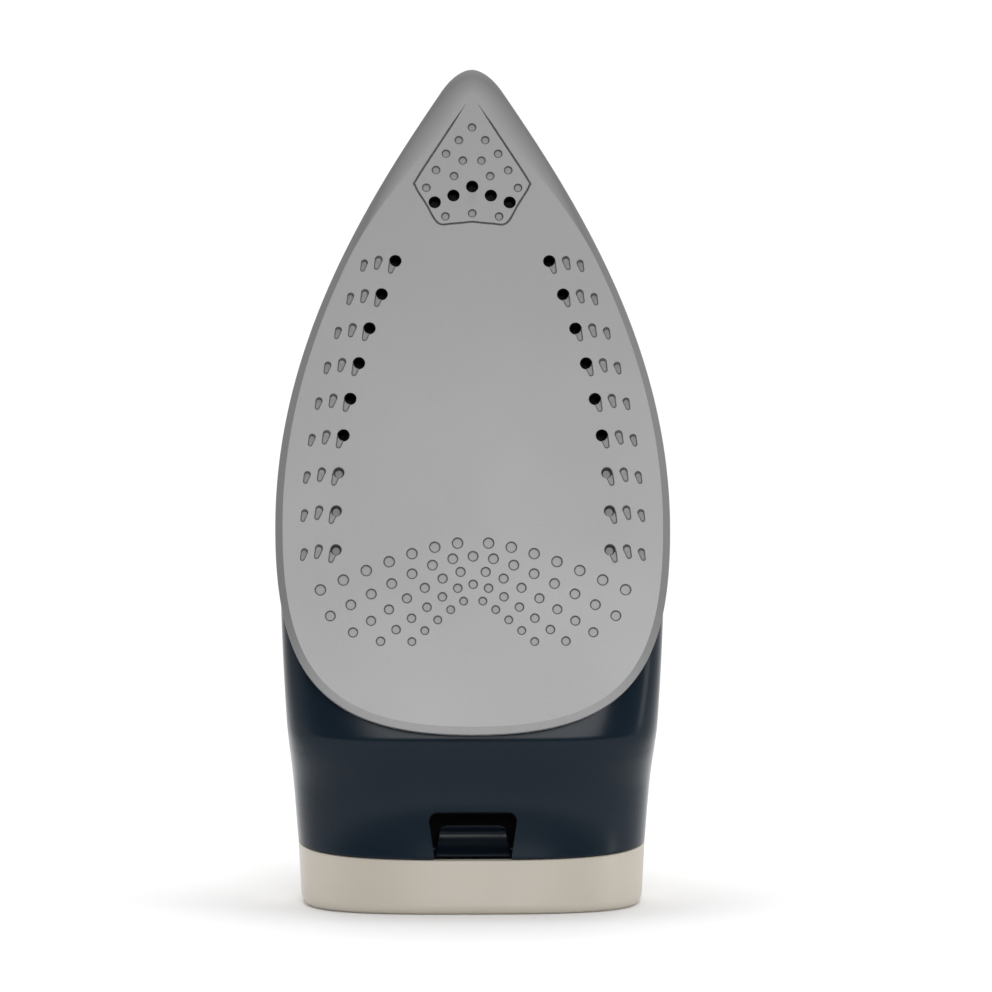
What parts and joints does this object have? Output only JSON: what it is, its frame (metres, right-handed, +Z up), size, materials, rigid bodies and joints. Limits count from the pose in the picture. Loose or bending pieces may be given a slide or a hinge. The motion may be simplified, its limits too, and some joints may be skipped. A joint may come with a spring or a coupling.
{
  "type": "steam iron",
  "caption": "steam iron standing on its heel, soleplate forward, with dial, steam slider, spray and burst buttons, filling flap, swivelling cord gland and heel latch",
  "frame": {"origin": "centre of the heel's resting face, on the floor under the standing iron", "axes": "+Z up through the iron towards its tip, -Y out of the soleplate side towards the viewer, +X across to the right as seen from the soleplate side; the iron leans back 11 degrees towards +Y"},
  "size_m": [0.12, 0.1521, 0.2602],
  "materials": {
    "sole_coating": "grey ceramic coating on aluminium",
    "cast_alloy": "as cast",
    "sheet_steel": "pressed sheet",
    "element_sheath": "heat-darkened tube",
    "screw_steel": "zinc plated",
    "red_silicone": "moulded silicone",
    "black_silicone": "moulded silicone",
    "steatite": "unglazed",
    "brass": "turned",
    "navy_gloss": "gloss moulded",
    "black_gloss": "gloss moulded",
    "cream": "semi-gloss moulded",
    "smoke_tank": "clear tinted",
    "dark_grip": "soft-touch",
    "dark_control": "fine texture",
    "silver_trim": "silver finish",
    "white_nylon": "moulded",
    "spring_steel": "drawn wire",
    "clear_tube": "translucent silicone",
    "foot_rubber": "matt",
    "amber_lens": "clear amber",
    "lamp_glass": "clear",
    "red_wire": "silicone covered"
  },
  "bodies": {
    "base": {"soleplate": "sole_coating", "sole_gasket": "black_silicone", "heater_casting": "cast_alloy", "heating_element": "element_sheath", "element_terminals": "screw_steel", "chamber_seal": "red_silicone", "chamber_cover": "sheet_steel", "casting_screws": "screw_steel", "thermostat_base": "steatite", "thermostat_contacts": "brass", "bimetal_blade": "sheet_steel", "thermal_fuse": "screw_steel", "dial_bezel": "silver_trim", "skirt": "navy_gloss", "latch_pin": "screw_steel", "body_shell": "navy_gloss", "water_tank": "smoke_tank", "tank_floor": "smoke_tank", "tank_bulkhead": "smoke_tank", "handle_top": "cream", "handle_grip": "dark_grip", "handle_screws": "screw_steel", "heel_cover": "cream", "heel_feet": "foot_rubber", "heel_screws": "screw_steel", "gland_socket": "white_nylon", "cord_clamp": "white_nylon", "terminal_block": "white_nylon", "terminal_screws": "brass", "power_leads": "red_wire", "valve_seat": "red_silicone", "spray_pump": "white_nylon", "burst_pump": "white_nylon", "spray_spring": "spring_steel", "burst_spring": "spring_steel", "spray_tube": "clear_tube", "burst_tube": "clear_tube", "spray_nozzle": "silver_trim", "nozzle_bezel": "dark_control", "fill_frame": "dark_control", "flap_pin": "screw_steel", "indicator_lens": "amber_lens", "indicator_lamp": "lamp_glass"},
    "dial": {"temperature_dial": "cream", "dial_pointer": "navy_gloss", "dial_spindle": "brass"},
    "slider": {"steam_slider": "dark_control", "slider_link": "white_nylon"},
    "needle": {"valve_needle": "brass"},
    "spray": {"spray_button": "dark_control"},
    "burst": {"burst_button": "dark_control"},
    "flap": {"fill_flap": "dark_control"},
    "gland": {"cord_gland": "dark_control"},
    "latch": {"heel_latch": "black_gloss"}
  },
  "joints": [
    {"name": "dial_turn", "type": "hinge", "parent": "base", "child": "dial", "pos_m": [0, 0.00586, 0.08568], "axis": [0, -0.9816, 0.1908], "range_deg": [0, 270]},
    {"name": "steam_slide", "type": "slide", "parent": "base", "child": "slider", "axis": [0, 0.1908, 0.9816], "range_m": [0, 0.008]},
    {"name": "valve_lift", "type": "slide", "parent": "base", "child": "needle", "axis": [0, 0.9816, -0.1908], "range_m": [0, 0.002]},
    {"name": "spray_press", "type": "slide", "parent": "base", "child": "spray", "axis": [0, -0.9613, -0.2756], "range_m": [0, 0.004], "stiffness_N_per_m": 250, "springref_m": -0.004, "deforming": ["spray_spring"]},
    {"name": "burst_press", "type": "slide", "parent": "base", "child": "burst", "axis": [0, -0.9613, -0.2756], "range_m": [0, 0.004], "stiffness_N_per_m": 250, "springref_m": -0.004, "deforming": ["burst_spring"]},
    {"name": "flap_hinge", "type": "hinge", "parent": "base", "child": "flap", "pos_m": [0, 0.00711, 0.20906], "axis": [-1, 0, 0], "range_deg": [0, 95]},
    {"name": "gland_swivel", "type": "hinge", "parent": "base", "child": "gland", "pos_m": [0, 0.0431, 0.01732], "axis": [1, 0, 0], "range_deg": [-25, 25]},
    {"name": "latch_press", "type": "hinge", "parent": "base", "child": "latch", "pos_m": [0, -0.04987, 0.01909], "axis": [-1, 0, 0], "range_deg": [0, 6], "stiffness_Nm_per_rad": 0.3, "springref_deg": -4.01}
  ],
  "couplings": [
    {"joint": "valve_lift", "follows": "steam_slide", "ratio": 0.25}
  ]
}
